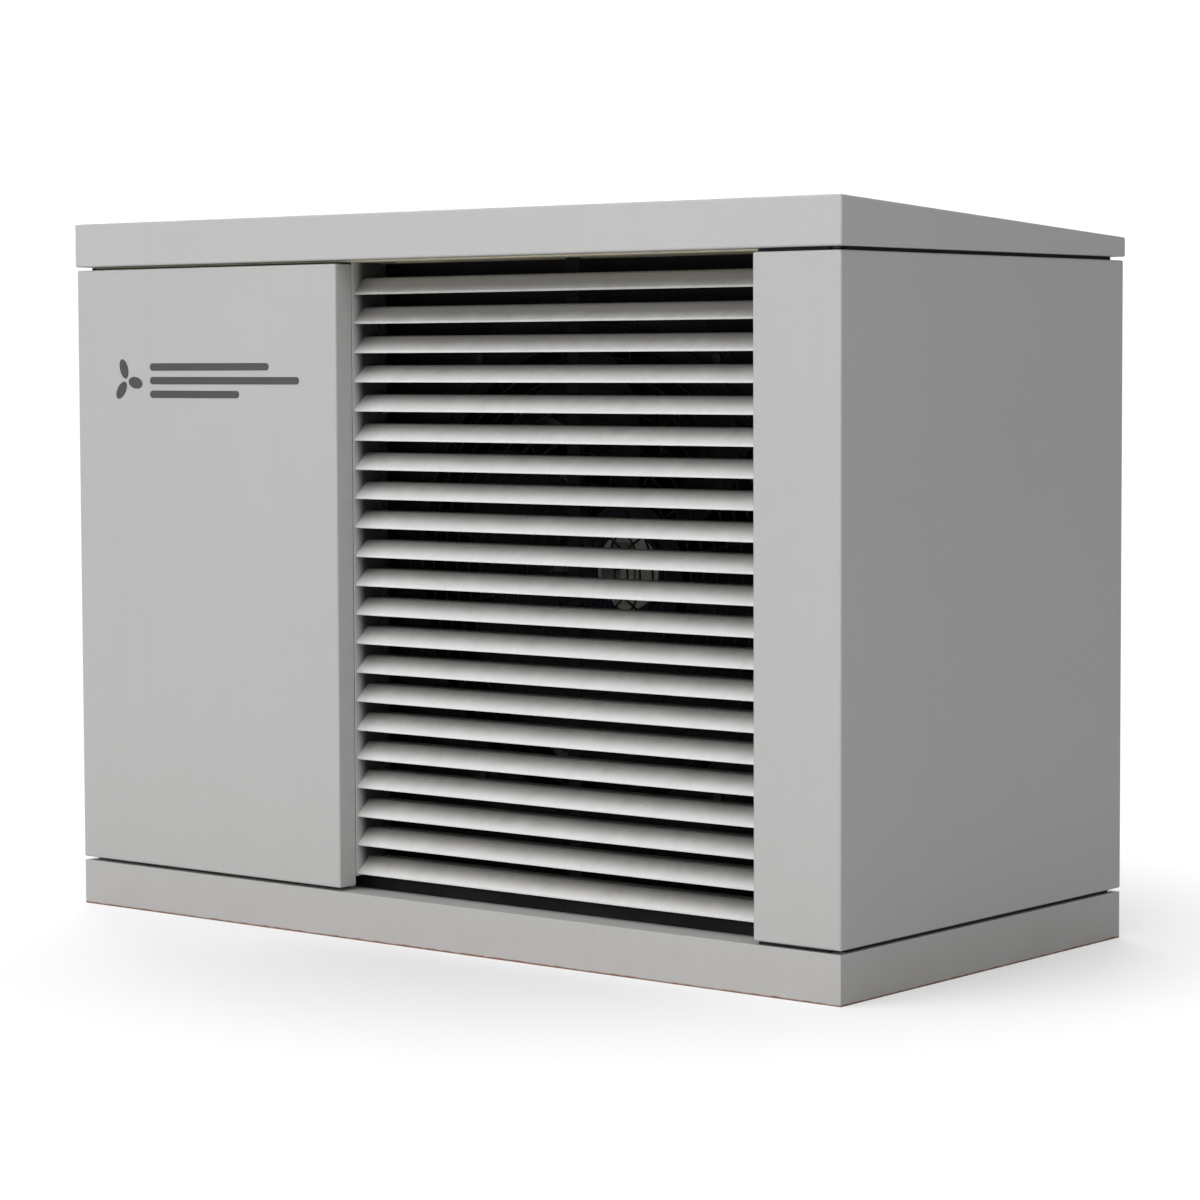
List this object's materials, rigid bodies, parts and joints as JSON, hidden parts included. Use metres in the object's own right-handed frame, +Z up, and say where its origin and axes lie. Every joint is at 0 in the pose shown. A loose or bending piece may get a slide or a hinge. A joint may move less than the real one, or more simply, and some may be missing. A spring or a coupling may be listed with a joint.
{
  "type": "air source heat pump outdoor unit",
  "caption": "Wide grey sheet metal outdoor unit with a louvred fan outlet, sloping lid, folded plinth, coil, compressor bay and water connections.",
  "frame": {"origin": "middle of the footprint, on the ground under the plinth", "axes": "+X to the right along the front, front faces -Y, +Z up"},
  "size_m": [1.404, 0.684, 1.022],
  "materials": {
    "cabinet_paint": "satin fine-textured powder coat",
    "plinth_paint": "satin fine-textured powder coat",
    "galvanised": "matt zinc coating",
    "fins": "bare fins",
    "dark_sheet": "matt",
    "black_plastic": "matt",
    "steel": "brushed",
    "motor_grey": "satin",
    "motor_blue": "satin",
    "copper": "bare copper",
    "black_paint": "satin",
    "rubber": "matt",
    "foam": "open cell foam",
    "brass": "satin",
    "green_paint": "satin",
    "pump_red": "satin",
    "red_plastic": "gloss",
    "board_green": "satin",
    "white_plastic": "satin"
  },
  "bodies": {
    "cabinet": {"plinth_front_left": "plinth_paint", "plinth_front_right": "plinth_paint", "plinth_rear": "plinth_paint", "plinth_sides": "plinth_paint", "drip_tray": "galvanised", "machine_floor": "galvanised", "corner_posts": "galvanised", "top_rails": "galvanised", "divider_wall": "galvanised", "side_panel_left": "cabinet_paint", "side_panel_right": "cabinet_paint", "rear_panel": "cabinet_paint", "gaskets": "rubber", "lid_pins": "steel", "louvre_jambs": "galvanised", "louvre_blades": "cabinet_paint", "rear_jambs": "galvanised", "rear_blades": "cabinet_paint", "fan_wall": "dark_sheet", "fan_nozzle": "dark_sheet", "nozzle_screws": "steel", "fan_guard": "black_plastic", "fan_motor": "motor_grey", "fan_bearings": "steel", "coil_fins": "fins", "coil_end_plates": "galvanised", "coil_return_bends": "copper", "coil_header": "copper", "coil_distributor": "copper", "compressor": "black_paint", "compressor_mounts": "rubber", "accumulator": "black_paint", "reversing_valve": "brass", "expansion_valve": "brass", "filter_drier": "green_paint", "plate_exchanger": "steel", "circulation_pump": "pump_red", "discharge_pipe": "copper", "hot_gas_pipe": "copper", "suction_pipe": "copper", "suction_link": "copper", "coil_gas_pipe": "copper", "liquid_pipe": "copper", "coil_liquid_pipe": "copper", "return_water_pipe": "steel", "flow_water_pipe": "steel", "return_valve": "brass", "flow_valve": "brass", "control_box": "galvanised", "control_cover": "galvanised", "inverter": "board_green", "terminal_block": "white_plastic"},
    "lid": {"lid": "cabinet_paint", "lid_liner": "foam"},
    "service_panel": {"service_panel": "cabinet_paint"},
    "rotor": {"fan_rotor": "motor_blue", "fan_impeller": "black_plastic"},
    "return_lever": {"return_lever": "red_plastic"},
    "flow_lever": {"flow_lever": "red_plastic"},
    "isolator_knob": {"isolator_knob": "red_plastic"}
  },
  "joints": [
    {"name": "fan_spin", "type": "hinge", "parent": "cabinet", "child": "rotor", "pos_m": [0.197, -0.098, 0.524], "axis": [0, 1, 0], "continuous": true},
    {"name": "lid_lift", "type": "slide", "parent": "cabinet", "child": "lid", "axis": [0, 0, 1], "range_m": [0, 0.3]},
    {"name": "service_panel_pull", "type": "slide", "parent": "cabinet", "child": "service_panel", "axis": [0, -1, 0], "range_m": [0, 0.4]},
    {"name": "return_lever_turn", "type": "hinge", "parent": "cabinet", "child": "return_lever", "pos_m": [-0.61, 0.25, 0.3615], "axis": [0, 0, -1], "range_deg": [0, 90]},
    {"name": "flow_lever_turn", "type": "hinge", "parent": "cabinet", "child": "flow_lever", "pos_m": [-0.53, 0.2585, 0.415], "axis": [0, 1, 0], "range_deg": [0, 90]},
    {"name": "isolator_turn", "type": "hinge", "parent": "cabinet", "child": "isolator_knob", "pos_m": [-0.57, -0.307, 0.8055], "axis": [0, -1, 0], "range_deg": [0, 90]}
  ]
}
